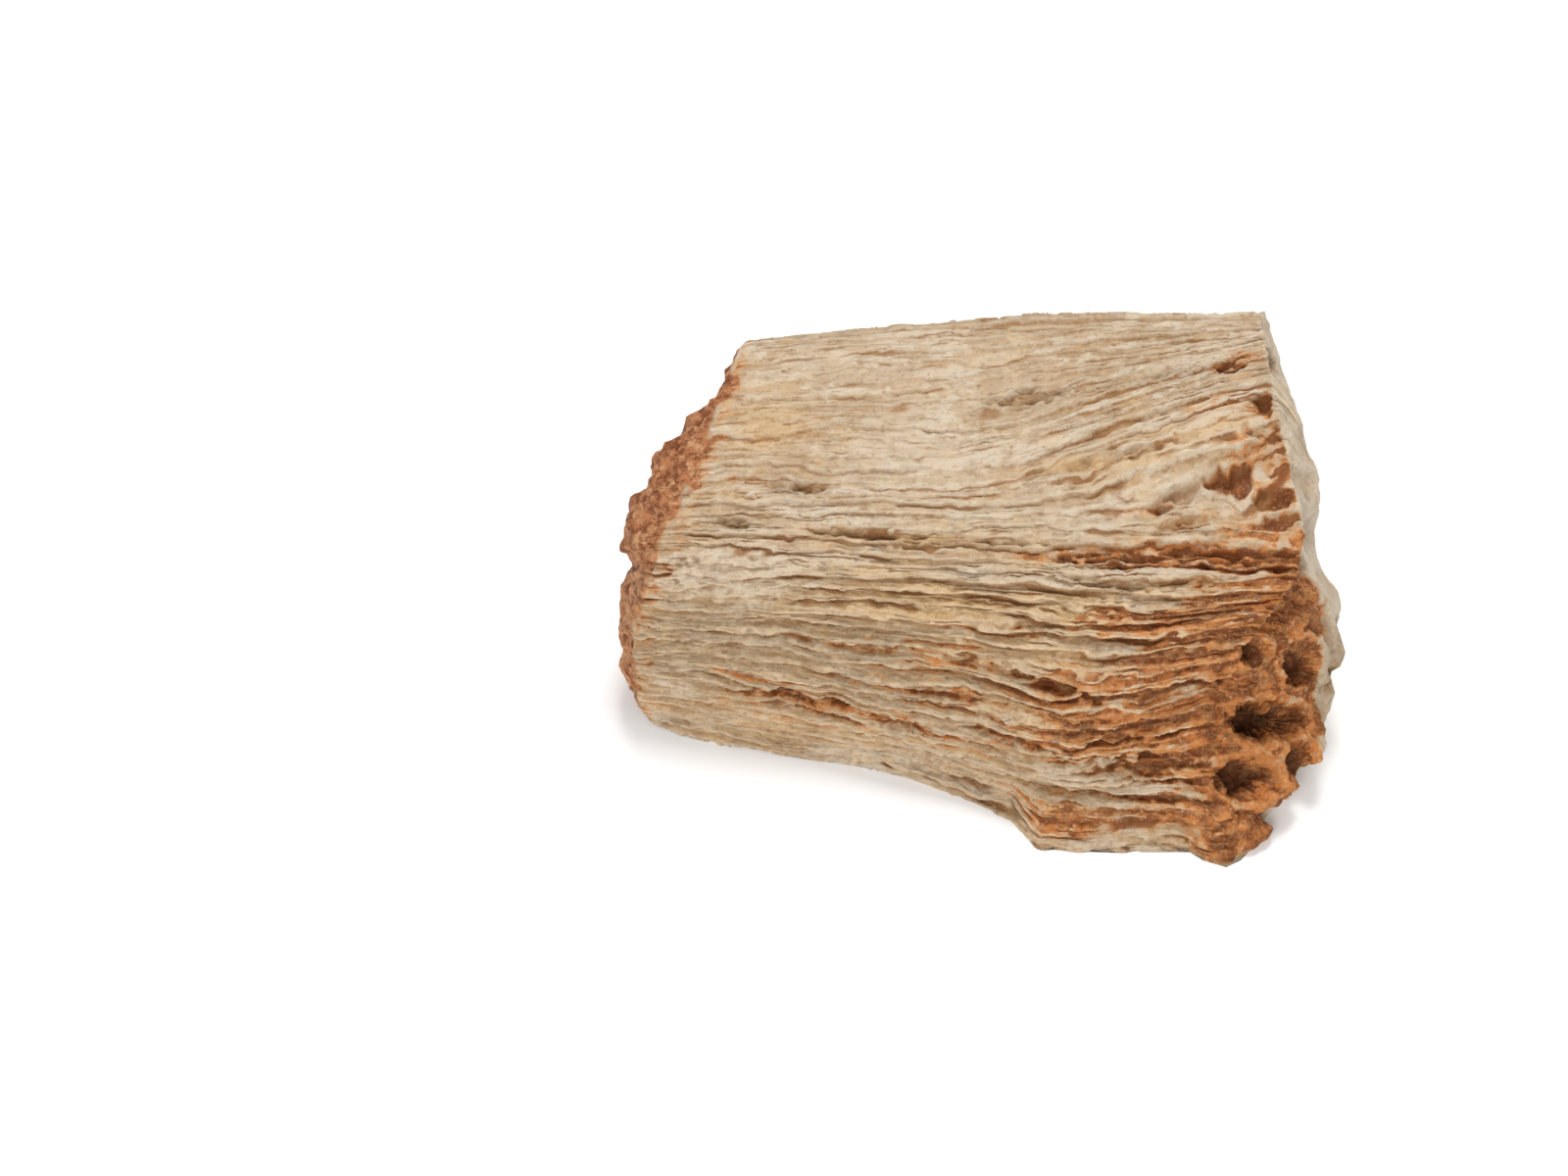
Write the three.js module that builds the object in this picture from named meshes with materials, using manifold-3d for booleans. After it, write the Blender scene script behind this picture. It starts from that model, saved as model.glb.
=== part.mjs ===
// A block of fossil colonial coral. It broke along its corallites, so they show on its long sides as
// ridges and ragged ledges, which fan out from the worn left end to the growth surface at the right.
import * as THREE from 'three';
import { mergeVertices } from 'three/addons/utils/BufferGeometryUtils.js';
import Module from 'manifold-3d';

// All sizes are in millimetres. X runs along the corallites and the block rests on Z = 0.
const BLOCK_CENTRE = new THREE.Vector3(0.2, 1.74, 0);
const LEDGE_HEIGHT = 1.1;
const LUMP_HEIGHT = 0.5;
const CRUST_HEIGHT = 1.3;

// Long lines of the block, in order round it from the top edge at the back. Each line has the number
// of corallites up to the next line, its point halfway down the left end, five points from the left
// end to the right end, and its point halfway down the right end.
const LINES = [
  // top edge at the back
  {
    corallites: 3,
    left: [-39, 24, 30],
    along: [[-34, 33.5, 38], [-15, 33.5, 40], [4, 34, 41.3], [23, 34, 42.3], [41, 34, 43.3]],
    right: [45, 20, 35],
  },
  // middle of the top
  {
    corallites: 3,
    left: [-48.5, 13, 30],
    along: [[-38, 16, 36.5], [-19.5, 14.5, 38], [-1.5, 14.5, 38.5], [19.5, 15.5, 40], [41.5, 18.5, 42]],
    right: [48.2, 11, 33],
  },
  // shoulder where the top turns down to the front
  {
    corallites: 2,
    left: [-50.3, 4, 26],
    along: [[-43.5, 1, 31], [-24, -1.5, 32.5], [-0.5, -3.5, 33], [21.5, -5, 34.5], [44.5, -7, 35.5]],
    right: [48, -6, 27],
  },
  // upper front
  {
    corallites: 2,
    left: [-49.8, 2, 20],
    along: [[-48.5, -4, 22], [-28, -7, 23.5], [-4, -12, 25], [17, -16.5, 26], [38.5, -15, 28]],
    right: [47.2, -11, 22],
  },
  // lower front
  {
    corallites: 2,
    left: [-50.8, 1, 13],
    along: [[-49.5, -6, 11], [-28.5, -10, 11.5], [-7, -17, 12], [12.5, -23.5, 13], [31, -22, 15]],
    right: [43.2, -16, 12],
  },
  // foot of the front
  {
    corallites: 1,
    left: [-51, 0, 8],
    along: [[-48.5, -7, 3], [-28.5, -12.3, 3], [-10, -16, 3], [10.5, -25.5, 3], [36, -31, 3.5]],
    right: [44.5, -24, 6],
  },
  // front edge of the base
  {
    corallites: 6,
    left: [-48.5, 4, 5],
    along: [[-45, -3, -1], [-28, -9, -1], [-9, -13, -1], [11, -23, -1], [36, -27, -1]],
    right: [46, -16, 4],
  },
  // back edge of the base
  {
    corallites: 1,
    left: [-46, 20, 6],
    along: [[-38, 27, -1], [-15, 28, -1], [4, 29, -1], [24, 30, -1], [43, 30, -1]],
    right: [48, 10, 6],
  },
  // foot of the back
  {
    corallites: 2,
    left: [-45, 22, 11],
    along: [[-36, 32, 5], [-15, 33, 5], [4, 34, 5], [24, 35, 5], [45, 35, 5]],
    right: [46.5, 16, 10],
  },
  // middle of the back
  {
    corallites: 2,
    left: [-44, 24, 19],
    along: [[-35, 34, 20], [-15, 35, 20], [4, 36, 20], [24, 37, 20], [46, 36, 20]],
    right: [46.5, 17, 18],
  },
  // shoulder at the back
  {
    corallites: 1,
    left: [-42, 24, 27],
    along: [[-34, 34.5, 32], [-15, 35, 34], [4, 35.5, 35], [23, 36, 36], [43, 35.5, 36]],
    right: [48, 19, 28],
  },
];
const LEFT_POLE = new THREE.Vector3(-50.3, 8, 17);
const RIGHT_POLE = new THREE.Vector3(52.3, -6, 14);

// Hollows where corallites broke out of the sides: line number, place along from 0 at the left end to 1,
// half-width in lines, half-length along, depth, and how far the line number changes along the hollow.
const HOLLOWS = [
  [0.75, 0.585, 0.07, 0.075, 1.4, -0.45],
  [1.53, 0.915, 0.1, 0.042, 2.8, -0.4],
  [1.26, 0.98, 0.06, 0.03, 1.2, 0],
  [1.66, 0.97, 0.06, 0.035, 1.6, -1],
  [1.8, 0.97, 0.05, 0.04, 1.5, -1],
  [1.64, 0.82, 0.06, 0.06, 1.6, -1.6],
  [1.84, 0.815, 0.05, 0.055, 1.2, -1.1],
  [1.52, 0.19, 0.05, 0.05, 1.1, 0],
  [1.87, 0.1, 0.05, 0.03, 1.3, 0],
  [1.96, 0.4, 0.05, 0.2, 1.2, 0.1],
  [2.12, 0.69, 0.07, 0.08, 1.4, 0],
  [2.1, 0.88, 0.12, 0.13, 2, 0],
  [2.38, 0.72, 0.06, 0.06, 1.2, 0.8],
  [2.88, 0.61, 0.06, 0.035, 1.4, 0],
  [3.4, 0.67, 0.06, 0.09, 2.2, 0.9],
  [3.88, 0.84, 0.13, 0.09, 1.6, 0],
  [3.54, 0.11, 0.06, 0.07, 1, -0.4],
  [3.34, 0.375, 0.05, 0.04, 1.2, -0.6],
  [3.72, 0.5, 0.06, 0.06, 1, -0.3],
  [4.22, 0.265, 0.09, 0.035, 2.2, 0],
  [4.23, 0.455, 0.07, 0.04, 2.2, 0],
  [4.33, 0.885, 0.16, 0.07, 2.6, 0],
  [4.66, 0.82, 0.05, 0.13, 1.5, 0],
  [8.4, 0.3, 0.2, 0.08, 2.4, 0],
  [9.3, 0.66, 0.12, 0.12, 2.2, 0.6],
  [10.2, 0.45, 0.1, 0.07, 1.6, 0],
  [4.35, 0.33, 0.05, 0.05, 1.2, 0],
  [2.75, 0.9, 0.05, 0.08, 1.1, 0],
  [4.1, 0.66, 0.05, 0.08, 1.4, 0.5],
];

// A slab stands out from the foot of the front at the right, to a steep broken face. Its left end
// and its top are given as places along and across where it starts and where it is at its full reach.
const SLAB_ALONG = [0.68, 0.73];
const SLAB_TOP = [4.68, 4.78];
const SLAB_BOTTOM = [6.1, 6.4];
const SLAB_FACE_Y = -31.3;
const SLAB_SLOPE = 0.72;
const SLAB_CORNER = { x: 34.5, halfWidth: 5, reach: 2.6 };

// Level dents across the right end, and swells where the depth is below zero: the place up the slope,
// the half-height and the depth. A place up the slope is counted along Y and Z together.
const END_DENTS = [
  [20.5, 5, 2.4],
  [-8.5, 2.2, -1.3],
  [-17, 1.4, 1.6],
  [-20.5, 1.6, -1],
];

// Cups of the growth surface. The listed ones are open and deep, at the lower front of the right end,
// and lean to the front: the middle of the mouth in X and up the slope, its half-width and half-height,
// and its depth. The others fill the rest of the end, row by row, worn down to about the given depth.
const CUP_SPACING = 7.3;
const CUP_WALL = 0.9;
const CUP_SEPTA = 6;
const WORN_CUP_DEPTH = 1.1;
const OPEN_CUPS = [
  [45.4, 4.2, 3.3, 3.8, 4],
  [40.3, -4, 6.2, 3.5, 6],
  [37.6, -12, 5.4, 3.5, 4.6],
  [45.3, -9.8, 2.8, 3.4, 3.2],
  [37.9, 6, 2.8, 2.2, 3.5],
];
const OPEN_CUP_AXIS = new THREE.Vector3(-0.5, 0.61, -0.61);
const CUP_FLOOR = 0.5;
const ABOVE_CUP = 6;

// Rings of the block from the right end to the left: the share of the way from a pole to the rim.
const RIGHT_RINGS = [0, 0.3, 0.55, 0.76, 0.92];
const LEFT_RINGS = [0.92, 0.72, 0.48, 0.24, 0];
const SIDE_STEPS = 16;
const ACROSS_CORALLITE = [0.05, 0.3, 0.62, 0.95];
const ACROSS_BASE = [0.5];
const BASE_LINE = 6;

const points = LINES.map(({ left, along, right }) => (
  [left, ...along, right].map((place) => new THREE.Vector3(...place))
));
const firstCorallite = [0];
for (const { corallites } of LINES) {
  firstCorallite.push(firstCorallite.at(-1) + corallites);
}
const CORALLITES = firstCorallite.at(-1);

// The number of a line may pass the last one, because the lines go round the block.
function line(number) {
  return points[(number + LINES.length) % LINES.length];
}

// A smooth curve through four places, from the second to the third.
function between(a, b, c, d, t) {
  const place = b.clone().multiplyScalar(2 - 5 * t * t + 3 * t ** 3);
  place.addScaledVector(a, -t + 2 * t * t - t ** 3);
  place.addScaledVector(c, t + 4 * t * t - 3 * t ** 3);
  place.addScaledVector(d, -t * t + t ** 3);
  return place.multiplyScalar(0.5);
}

// A place on one long line, from 0 at the left rim to 1 at the right rim.
function alongLine(number, along) {
  const [, ...rest] = line(number);
  const stations = rest.slice(0, 5);
  const span = Math.min(Math.floor(along * 4), 3);
  const before = stations[span - 1] ?? stations[0].clone().multiplyScalar(2).sub(stations[1]);
  const after = stations[span + 2] ?? stations[4].clone().multiplyScalar(2).sub(stations[3]);
  return between(before, stations[span], stations[span + 1], after, along * 4 - span);
}

// The same smooth curve, taken across the lines.
function acrossLines(across, placeOnLine) {
  const number = Math.floor(across);
  const near = [-1, 0, 1, 2].map((step) => placeOnLine(number + step));
  return between(...near, across - number);
}

function sidePlace(across, along) {
  return acrossLines(across, (number) => alongLine(number, along));
}

// How far up the slope from the front to the back a place is.
function upSlope({ y, z }) {
  return (y + z) * Math.SQRT1_2;
}

// A hollow's share of its depth: 1 in its floor and 0 outside.
function floorShare(x, y) {
  return Math.exp(-((x * x + y * y) ** 2));
}

// A place on an end, from 0 at its pole to 1 at its rim.
function endPlace(across, share, right) {
  const rim = acrossLines(across, (number) => line(number)[right ? 5 : 1]);
  const middle = acrossLines(across, (number) => line(number)[right ? 6 : 0]);
  const place = (right ? RIGHT_POLE : LEFT_POLE).clone();
  place.multiplyScalar((1 - share) * (1 - 2 * share));
  place.addScaledVector(middle, 4 * share * (1 - share));
  place.addScaledVector(rim, share * (2 * share - 1));
  if (right) {
    const inside = 1 - THREE.MathUtils.smoothstep(share, 0.8, 1);
    for (const [up, halfHeight, dent] of END_DENTS) {
      place.x -= dent * inside * floorShare((upSlope(place) - up) / halfHeight, 0);
    }
  }
  return place;
}

// A random value from 0 to 1 for each whole place in space, the same on every run.
function chance(x, y, z) {
  const value = Math.sin(x * 127.1 + y * 311.7 + z * 74.7) * 43758.5453;
  return value - Math.floor(value);
}

// A value from -1 to 1 that wanders smoothly through space.
function wander(x, y, z) {
  const corner = [x, y, z].map(Math.floor);
  const [tx, ty, tz] = [x, y, z].map((value, axis) => {
    const past = value - corner[axis];
    return THREE.MathUtils.smoothstep(past, 0, 1);
  });
  const edge = (dy, dz) => {
    const low = chance(corner[0], corner[1] + dy, corner[2] + dz);
    const high = chance(corner[0] + 1, corner[1] + dy, corner[2] + dz);
    return THREE.MathUtils.lerp(low, high, tx);
  };
  const near = THREE.MathUtils.lerp(edge(0, 0), edge(1, 0), ty);
  const far = THREE.MathUtils.lerp(edge(0, 1), edge(1, 1), ty);
  return THREE.MathUtils.lerp(near, far, tz) * 2 - 1;
}

// Corallites are counted round the block, and each has a ledge at its lower side.
function coralliteAt(across) {
  const number = Math.min(Math.floor(across), LINES.length - 1);
  return firstCorallite[number] + (across - number) * LINES[number].corallites;
}

function acrossAt(corallite) {
  const number = firstCorallite.findLastIndex((first) => first <= corallite);
  return number + (corallite - firstCorallite[number]) / LINES[number].corallites;
}

// How far the broken side stands out from the smooth block.
function relief(across, along, place) {
  const corallite = coralliteAt(across);
  const number = Math.floor(corallite);
  const strength = 0.45 + 0.55 * wander(number * 1.7, along * 3.5, 0.5);
  let out = LEDGE_HEIGHT * strength * ((corallite - number) ** 1.5 - 0.4);
  out += LUMP_HEIGHT * wander(place.x / 14, place.y / 9, place.z / 9);
  for (const [hollowAcross, hollowAlong, halfWidth, halfLength, depth, slant] of HOLLOWS) {
    const x = (along - hollowAlong) / halfLength;
    const y = (across - hollowAcross - slant * (along - hollowAlong)) / halfWidth;
    out -= depth * floorShare(x, y);
  }
  return out;
}

// The slab moves the foot of the front out to its steep face.
function withSlab(place, across, along) {
  const inLength = THREE.MathUtils.smoothstep(along, ...SLAB_ALONG);
  const underTop = THREE.MathUtils.smoothstep(across, ...SLAB_TOP);
  const overBottom = 1 - THREE.MathUtils.smoothstep(across, ...SLAB_BOTTOM);
  const corner = SLAB_CORNER.reach * floorShare((place.x - SLAB_CORNER.x) / SLAB_CORNER.halfWidth, 0);
  const forward = Math.min(SLAB_FACE_Y + SLAB_SLOPE * place.z - corner - place.y, 0);
  place.y += forward * inLength * underTop * overBottom;
  return place;
}

// The broken side, with its relief measured square to the smooth block.
function brokenSide(across, along) {
  const step = 0.01;
  const round = sidePlace(across + step, along).sub(sidePlace(across - step, along));
  const before = sidePlace(across, Math.max(along - step, 0));
  const forward = sidePlace(across, Math.min(along + step, 1)).sub(before);
  const outward = round.cross(forward).normalize();
  const place = withSlab(sidePlace(across, along), across, along);
  return place.addScaledVector(outward, relief(across, along, place));
}

// An end carries the relief of the side over its rim. The left end has a lumpy crust.
function brokenEnd(across, share, right) {
  const rim = right ? 1 : 0;
  const shift = brokenSide(across, rim).sub(sidePlace(across, rim));
  const place = endPlace(across, share, right);
  const crust = right ? 0 : CRUST_HEIGHT * (1 - share ** 6);
  place.x -= crust * wander(place.x / 4, place.y / 4.5, place.z / 4.5);
  return place.addScaledVector(shift, share ** 4);
}

// The block starts as a sphere whose poles are the middles of the ends.
function blockGeometry() {
  const across = [];
  for (let corallite = 0; corallite < CORALLITES; corallite += 1) {
    const onBase = Math.floor(acrossAt(corallite)) === BASE_LINE;
    const shares = onBase ? ACROSS_BASE : ACROSS_CORALLITE;
    across.push(...shares.map((share) => acrossAt(corallite + share)));
  }
  const sideRings = [];
  for (let step = 0; step <= SIDE_STEPS; step += 1) {
    sideRings.push((u) => brokenSide(u, 1 - step / SIDE_STEPS));
  }
  const rings = [
    ...RIGHT_RINGS.map((share) => (u) => brokenEnd(u, share, true)),
    ...sideRings,
    ...LEFT_RINGS.map((share) => (u) => brokenEnd(u, share, false)),
  ];
  const geometry = new THREE.SphereGeometry(1, across.length, rings.length - 1);
  const position = geometry.attributes.position;
  for (const [number, ring] of rings.entries()) {
    for (let step = 0; step <= across.length; step += 1) {
      const place = ring(across[step % across.length]);
      position.setXYZ(number * (across.length + 1) + step, ...place.sub(BLOCK_CENTRE));
    }
  }
  return geometry;
}

// The corallites fan out from a region far behind the left end, and the cups open that way.
function fanDirection(y, z) {
  return new THREE.Vector3(1, (y - 34) * 0.0046, (z - 5) * 0.002).normalize();
}

// The place on the right end with the smallest gap, and its share of the way to the rim.
function onRightEnd(gapTo) {
  let best = { gap: Infinity };
  for (let across = 0; across < LINES.length; across += 0.05) {
    for (let share = 0; share <= 1; share += 0.02) {
      const place = endPlace(across, share, true);
      const gap = gapTo(place);
      if (gap < best.gap) {
        best = { gap, place, share };
      }
    }
  }
  return best;
}

function openCup([x, up, halfWidth, halfHeight, depth]) {
  const { place } = onRightEnd((near) => Math.hypot(near.x - x, upSlope(near) - up));
  return { y: place.y, z: place.z, place, halfWidth, halfHeight, depth };
}

// The worn cups, in rows, that are clear of the rim and of the open cups.
function wornCups(openCups) {
  const cups = [];
  const rowHeight = CUP_SPACING * Math.sqrt(3) / 2;
  for (let row = 0; row < 8; row += 1) {
    for (let column = 0; column < 11; column += 1) {
      const z = 4.2 + row * rowHeight + 1.3 * (chance(row, column, 1) - 0.5);
      const y = -34 + (column + (row % 2) / 2) * CUP_SPACING + 1.6 * (chance(row, column, 2) - 0.5);
      const { gap, place, share } = onRightEnd((near) => Math.hypot(near.y - y, near.z - z));
      const clear = openCups.every((cup) => Math.hypot(cup.y - y, cup.z - z) > CUP_SPACING * 0.72);
      if (gap < 0.6 && share < 0.9 && clear) {
        cups.push({ y, z, place, depth: WORN_CUP_DEPTH * (0.5 + chance(row, column, 3)) });
      }
    }
  }
  return cups;
}

// The rim of the right end, as close places along it.
function rimPlaces() {
  const places = [];
  for (let across = 0; across < LINES.length; across += 0.05) {
    places.push(acrossLines(across, (number) => line(number)[5]));
  }
  return places;
}

// A worn cup reaches to the walls that it shares with the cups round it, and to the wall inside the rim.
function cupReach(cup, angle, cups, rim) {
  let reach = CUP_SPACING * 0.56;
  for (const place of rim) {
    const [y, z] = [place.y - cup.y, place.z - cup.z];
    const out = Math.cos(angle) * y + Math.sin(angle) * z;
    const aside = Math.cos(angle) * z - Math.sin(angle) * y;
    if (out > 0 && Math.abs(aside) < 1) {
      reach = Math.min(reach, Math.max(out - CUP_WALL, 1));
    }
  }
  for (const other of cups) {
    const gap = Math.max(Math.hypot(other.y - cup.y, other.z - cup.z), 0.01);
    const facing = (Math.cos(angle) * (other.y - cup.y) + Math.sin(angle) * (other.z - cup.z)) / gap;
    if (facing > 0.1) {
      reach = Math.min(reach, (gap - CUP_WALL) / 2 / facing);
    }
  }
  return reach;
}

// The space inside a cup: a cylinder that narrows to its floor, with a notch for each septum. What it
// starts from is one unit in radius, and placeAt gives the place for a level, an angle and a radius.
function cupSpace(depth, placeAt) {
  const geometry = new THREE.CylinderGeometry(1, 1, 1, CUP_SEPTA * 2, 2);
  const position = geometry.attributes.position;
  for (let index = 0; index < position.count; index += 1) {
    const [x, height, z] = [position.getX(index), position.getY(index), position.getZ(index)];
    const angle = Math.atan2(x, z);
    const side = Math.round(angle / Math.PI * CUP_SEPTA);
    const septum = side % 2 === 0 ? 1 : 0.78;
    const ring = Math.round((height + 0.5) * 2);
    const narrowing = ring === 0 ? CUP_FLOOR : 1;
    const level = [-depth, -0.4, ABOVE_CUP][ring];
    const radius = Math.hypot(x, z) < 0.01 ? 0 : septum * narrowing;
    position.setXYZ(index, ...placeAt(level, angle, radius).sub(BLOCK_CENTRE));
  }
  return geometry;
}

function openCupSpace({ place, halfWidth, halfHeight, depth }) {
  return cupSpace(depth, (level, angle, radius) => {
    const up = radius * halfHeight * Math.SQRT1_2 * Math.sin(angle);
    const aside = new THREE.Vector3(radius * halfWidth * Math.cos(angle), up, up);
    return place.clone().addScaledVector(OPEN_CUP_AXIS, -level).add(aside);
  });
}

function wornCupSpace(cup, cups, rim) {
  const direction = fanDirection(cup.y, cup.z);
  return cupSpace(cup.depth, (level, angle, radius) => {
    const reach = radius * cupReach(cup, angle, cups, rim);
    const aside = new THREE.Vector3(0, reach * Math.cos(angle), reach * Math.sin(angle));
    return cup.place.clone().addScaledVector(direction, level).add(aside);
  });
}

const wasm = await Module();
wasm.setup();

// A closed solid from a geometry whose shared vertices are merged.
function toSolid(geometry) {
  geometry.deleteAttribute('normal');
  geometry.deleteAttribute('uv');
  const merged = mergeVertices(geometry);
  const vertProperties = new Float32Array(merged.attributes.position.array);
  const triVerts = new Uint32Array(merged.index.array);
  return new wasm.Manifold(new wasm.Mesh({ numProp: 3, vertProperties, triVerts }));
}

function toGeometry(solid) {
  const { vertProperties, triVerts } = solid.getMesh();
  const geometry = new THREE.BufferGeometry();
  geometry.setAttribute('position', new THREE.BufferAttribute(vertProperties, 3));
  geometry.setIndex(new THREE.BufferAttribute(triVerts, 1));
  geometry.computeVertexNormals();
  return geometry;
}

// Everything below Z = 0 is cut off, so the block rests on a flat face.
function groundBox() {
  const box = new THREE.BoxGeometry(200, 200, 20);
  box.translate(0, 0, -10);
  return box;
}

let coral = toSolid(blockGeometry());
const openCups = OPEN_CUPS.map(openCup);
const worn = wornCups(openCups);
const rim = rimPlaces();
for (const cup of openCups) {
  coral = coral.subtract(toSolid(openCupSpace(cup)));
}
for (const cup of worn) {
  coral = coral.subtract(toSolid(wornCupSpace(cup, [...openCups, ...worn], rim)));
}
coral = coral.subtract(toSolid(groundBox()));

const stone = new THREE.MeshStandardMaterial({ color: 0xc9ab84, roughness: 0.85, metalness: 0 });
const fossilCoral = new THREE.Mesh(toGeometry(coral), stone);
fossilCoral.name = 'fossil_coral';

const part = new THREE.Group();
part.add(fossilCoral);

export default part;
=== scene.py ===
import math

import bpy
import numpy as np
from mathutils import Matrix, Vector


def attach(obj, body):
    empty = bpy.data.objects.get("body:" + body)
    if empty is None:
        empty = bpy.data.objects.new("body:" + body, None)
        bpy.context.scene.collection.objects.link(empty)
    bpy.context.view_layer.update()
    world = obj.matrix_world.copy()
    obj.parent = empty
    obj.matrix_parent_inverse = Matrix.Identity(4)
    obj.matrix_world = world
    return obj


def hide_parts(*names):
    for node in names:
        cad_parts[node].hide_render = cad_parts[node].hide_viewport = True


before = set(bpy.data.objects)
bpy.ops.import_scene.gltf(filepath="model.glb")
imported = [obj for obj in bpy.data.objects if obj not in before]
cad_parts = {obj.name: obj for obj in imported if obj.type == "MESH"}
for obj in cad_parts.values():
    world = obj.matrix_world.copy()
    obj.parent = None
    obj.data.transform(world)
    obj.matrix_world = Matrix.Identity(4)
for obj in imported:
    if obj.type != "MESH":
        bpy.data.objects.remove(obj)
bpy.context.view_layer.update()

bpy.ops.object.select_all(action="DESELECT")

# The coral block: one piece of colonial coral turned to limestone and broken along its corallites. Its
# sides show them end to end, as ridges, ledges and septa, and its right end shows their cups. It is a
# sheet of small faces, rolled up along the block, with each of its points moved into place.

# Long lines of the block in millimetres, in order round it from the top edge at the back: the number
# of corallites up to the next line, the point halfway down the left end, five points from the left
# end to the right end, and the point halfway down the right end.
LINES = [
    (3, (-39, 24, 30), (-34, 33.5, 38), (-15, 33.5, 40), (4, 34, 41.3), (23, 34, 42.3),
     (41, 34, 43.3), (45, 20, 35)),
    (3, (-48.5, 13, 30), (-38, 16, 36.5), (-19.5, 14.5, 38), (-1.5, 14.5, 38.5), (19.5, 15.5, 40),
     (41.5, 18.5, 42), (48.2, 11, 33)),
    (2, (-50.3, 4, 26), (-43.5, 1, 31), (-24, -1.5, 32.5), (-0.5, -3.5, 33), (21.5, -5, 34.5),
     (44.5, -7, 35.5), (48, -6, 27)),
    (2, (-49.8, 2, 20), (-48.5, -4, 22), (-28, -7, 23.5), (-4, -12, 25), (17, -16.5, 26),
     (38.5, -15, 28), (47.2, -11, 22)),
    (2, (-50.8, 1, 13), (-49.5, -6, 11), (-28.5, -10, 11.5), (-7, -17, 12), (12.5, -23.5, 13),
     (31, -22, 15), (43.2, -16, 12)),
    (1, (-51, 0, 8), (-48.5, -7, 3), (-28.5, -12.3, 3), (-10, -16, 3), (10.5, -25.5, 3),
     (36, -31, 3.5), (44.5, -24, 6)),
    (6, (-48.5, 4, 5), (-45, -3, -1), (-28, -9, -1), (-9, -13, -1), (11, -23, -1),
     (36, -27, -1), (46, -16, 4)),
    (1, (-46, 20, 6), (-38, 27, -1), (-15, 28, -1), (4, 29, -1), (24, 30, -1),
     (43, 30, -1), (48, 10, 6)),
    (2, (-45, 22, 11), (-36, 32, 5), (-15, 33, 5), (4, 34, 5), (24, 35, 5),
     (45, 35, 5), (46.5, 16, 10)),
    (2, (-44, 24, 19), (-35, 34, 20), (-15, 35, 20), (4, 36, 20), (24, 37, 20),
     (46, 36, 20), (46.5, 17, 18)),
    (1, (-42, 24, 27), (-34, 34.5, 32), (-15, 35, 34), (4, 35.5, 35), (23, 36, 36),
     (43, 35.5, 36), (48, 19, 28)),
]
LEFT_POLE = np.array((-50.3, 8.0, 17.0))
RIGHT_POLE = np.array((52.3, -6.0, 14.0))
# About how far it is from each pole to the rim round it.
LEFT_RADIUS = 20
RIGHT_RADIUS = 25
BLOCK_CENTRE = np.array((0.2, 1.74, 0.0))
BLOCK_LENGTH = 100.0

COUNTS = np.array([corallites for corallites, *places in LINES])
FIRST_CORALLITE = np.concatenate([[0], np.cumsum(COUNTS)])
CORALLITES = int(FIRST_CORALLITE[-1])
points = np.array([places for corallites, *places in LINES], float)
left_middle, stations, right_middle = points[:, 0], points[:, 1:6], points[:, 6]
before_first = 2 * stations[:, :1] - stations[:, 1:2]
after_last = 2 * stations[:, -1:] - stations[:, -2:-1]
stations = np.concatenate([before_first, stations, after_last], axis=1)


def curve(a, b, c, d, t):
    """A smooth curve through four places, from the second to the third."""
    t = t[..., None]
    return 0.5 * (2 * b + (c - a) * t + (2 * a - 5 * b + 4 * c - d) * t**2 + (3 * b - a - 3 * c + d) * t**3)


def across_lines(across, place_on_line):
    """A place between two long lines, on a curve through the nearest four."""
    number = np.floor(across).astype(int)
    near = [place_on_line((number + step) % len(LINES)) for step in (-1, 0, 1, 2)]
    return curve(*near, across - number)


def side_place(across, along):
    """A place on the smooth side, along from 0 at the left rim to 1 at the right rim."""
    span = np.minimum((along * 4).astype(int), 3)

    def on_line(number):
        return curve(*(stations[number, span + step] for step in range(4)), along * 4 - span)

    return across_lines(across, on_line)


def end_place(across, share, middle, rim, pole):
    """A place on a smooth end, from 0 at its pole to 1 at its rim."""
    middle_place = across_lines(across, lambda number: middle[number])
    rim_place = across_lines(across, lambda number: rim[number])
    share = share[..., None]
    inner = pole * (1 - share) * (1 - 2 * share) + middle_place * 4 * share * (1 - share)
    return inner + rim_place * share * (2 * share - 1)


def corallite_at(across):
    """How many corallites there are from the first line round to this place."""
    number = np.minimum(np.floor(across).astype(int), len(LINES) - 1)
    return FIRST_CORALLITE[number] + (across - number) * COUNTS[number]


def chance(x, y, z):
    """A random value from 0 to 1 for each whole place, the same on every run."""
    value = np.sin(x * 127.1 + y * 311.7 + z * 74.7) * 43758.5453
    return value - np.floor(value)


def wander(x, y, z):
    """A value from -1 to 1 that wanders smoothly through space."""
    x, y, z = np.broadcast_arrays(x, y, z)
    low = [np.floor(value) for value in (x, y, z)]
    tx, ty, tz = [t * t * (3 - 2 * t) for t in (x - low[0], y - low[1], z - low[2])]
    total = 0
    for dx in (0, 1):
        for dy in (0, 1):
            for dz in (0, 1):
                weight = (tx if dx else 1 - tx) * (ty if dy else 1 - ty) * (tz if dz else 1 - tz)
                total = total + weight * chance(low[0] + dx, low[1] + dy, low[2] + dz)
    return total * 2 - 1


def rough(place, size, octaves, stretch=1.0):
    """Several sizes of wandering together, drawn out along the corallites by stretch."""
    total = 0
    for octave in range(octaves):
        scale = 2.0**octave / size
        x = place[..., 0] * scale / stretch + 3.1 * octave
        total = total + wander(x, place[..., 1] * scale, place[..., 2] * scale) / 1.7**octave
    return total


def smooth(value):
    """0 up to 0, 1 from 1 on, and smooth from one to the other."""
    value = np.clip(value, 0, 1)
    return value * value * (3 - 2 * value)


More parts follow.
